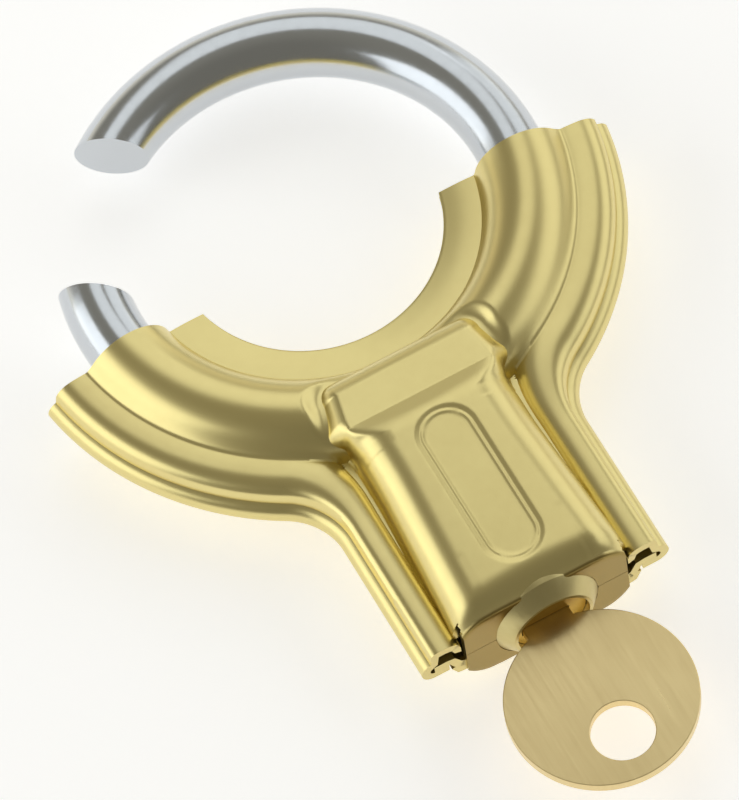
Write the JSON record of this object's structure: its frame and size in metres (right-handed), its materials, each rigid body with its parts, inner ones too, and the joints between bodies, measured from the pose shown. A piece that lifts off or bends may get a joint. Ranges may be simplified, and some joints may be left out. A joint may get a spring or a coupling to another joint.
{
  "type": "ring shackle padlock",
  "caption": "Brass padlock: pressed shells with curved arms hold a turning steel C-ring; a round key cylinder and flat key sit in the end wall.",
  "frame": {"origin": "centre of the shackle ring, on the plane where the two shells meet", "axes": "+Z leaves the front panel, +X is the right arm, and +Y runs from the key to the top of the ring"},
  "size_m": [0.0812, 0.1227, 0.0174],
  "materials": {
    "shell_brass": "satin pressed brass",
    "collar_brass": "turned brass",
    "plug_brass": "turned brass",
    "key_brass": "brushed brass",
    "pin_brass": "bright brass",
    "shackle_steel": "polished steel",
    "case_metal": "cast zinc, matt",
    "plain_steel": "plain steel",
    "spring_steel": "spring wire"
  },
  "bodies": {
    "lock_body": {"front_shell": "shell_brass", "rear_shell": "shell_brass", "case_front_half": "case_metal", "case_rear_half": "case_metal", "case_screws": "plain_steel", "chamber_cover": "collar_brass", "cylinder_housing": "collar_brass", "bolt_spring_left": "spring_steel", "bolt_spring_right": "spring_steel", "pin_spring_1": "spring_steel", "pin_spring_2": "spring_steel", "pin_spring_3": "spring_steel", "pin_spring_4": "spring_steel"},
    "shackle": {"shackle_ring": "shackle_steel"},
    "plug_group": {"plug": "plug_brass", "retaining_clip": "plain_steel", "cam": "plain_steel", "cam_pin": "plain_steel"},
    "key": {"key": "key_brass"},
    "bolt": {"latch_bolt": "plain_steel", "follower_pin": "plain_steel"},
    "key_pin_1_slide": {"key_pin_1": "pin_brass"},
    "driver_pin_1_slide": {"driver_pin_1": "pin_brass"},
    "key_pin_2_slide": {"key_pin_2": "pin_brass"},
    "driver_pin_2_slide": {"driver_pin_2": "pin_brass"},
    "key_pin_3_slide": {"key_pin_3": "pin_brass"},
    "driver_pin_3_slide": {"driver_pin_3": "pin_brass"},
    "key_pin_4_slide": {"key_pin_4": "pin_brass"},
    "driver_pin_4_slide": {"driver_pin_4": "pin_brass"}
  },
  "joints": [
    {"name": "shackle_turn", "type": "hinge", "parent": "lock_body", "child": "shackle", "pos_m": [0, 0, 0], "axis": [0, 0, 1], "range_deg": [0, 123]},
    {"name": "key_turn", "type": "hinge", "parent": "lock_body", "child": "plug_group", "pos_m": [0, -0.055, 0], "axis": [0, 1, 0], "range_deg": [0, 90]},
    {"name": "key_pull", "type": "slide", "parent": "plug_group", "child": "key", "axis": [0, -1, 0], "range_m": [0, 0.022]},
    {"name": "bolt_draw", "type": "slide", "parent": "lock_body", "child": "bolt", "axis": [0, -1, 0], "range_m": [0, 0.001], "stiffness_N_per_m": 200, "springref_m": -0.006, "deforming": ["bolt_spring_left", "bolt_spring_right"]},
    {"name": "key_pin_1_drop", "type": "slide", "parent": "plug_group", "child": "key_pin_1_slide", "axis": [-1, 0, 0], "range_m": [0, 0.0007]},
    {"name": "driver_pin_1_lift", "type": "slide", "parent": "lock_body", "child": "driver_pin_1_slide", "axis": [1, 0, 0], "range_m": [0, 0.0006], "stiffness_N_per_m": 100, "springref_m": -0.0015, "deforming": ["pin_spring_1"]},
    {"name": "key_pin_2_drop", "type": "slide", "parent": "plug_group", "child": "key_pin_2_slide", "axis": [-1, 0, 0], "range_m": [0, 0.0007]},
    {"name": "driver_pin_2_lift", "type": "slide", "parent": "lock_body", "child": "driver_pin_2_slide", "axis": [1, 0, 0], "range_m": [0, 0.0006], "stiffness_N_per_m": 100, "springref_m": -0.0015, "deforming": ["pin_spring_2"]},
    {"name": "key_pin_3_drop", "type": "slide", "parent": "plug_group", "child": "key_pin_3_slide", "axis": [-1, 0, 0], "range_m": [0, 0.0007]},
    {"name": "driver_pin_3_lift", "type": "slide", "parent": "lock_body", "child": "driver_pin_3_slide", "axis": [1, 0, 0], "range_m": [0, 0.0006], "stiffness_N_per_m": 100, "springref_m": -0.0015, "deforming": ["pin_spring_3"]},
    {"name": "key_pin_4_drop", "type": "slide", "parent": "plug_group", "child": "key_pin_4_slide", "axis": [-1, 0, 0], "range_m": [0, 0.0007]},
    {"name": "driver_pin_4_lift", "type": "slide", "parent": "lock_body", "child": "driver_pin_4_slide", "axis": [1, 0, 0], "range_m": [0, 0.0006], "stiffness_N_per_m": 100, "springref_m": -0.0015, "deforming": ["pin_spring_4"]}
  ],
  "couplings": [
    {"joint": "key_pin_1_drop", "follows": "key_pull", "ratio": 0.03},
    {"joint": "key_pin_2_drop", "follows": "key_pull", "ratio": 0.03},
    {"joint": "key_pin_3_drop", "follows": "key_pull", "ratio": 0.03},
    {"joint": "key_pin_4_drop", "follows": "key_pull", "ratio": 0.03}
  ]
}
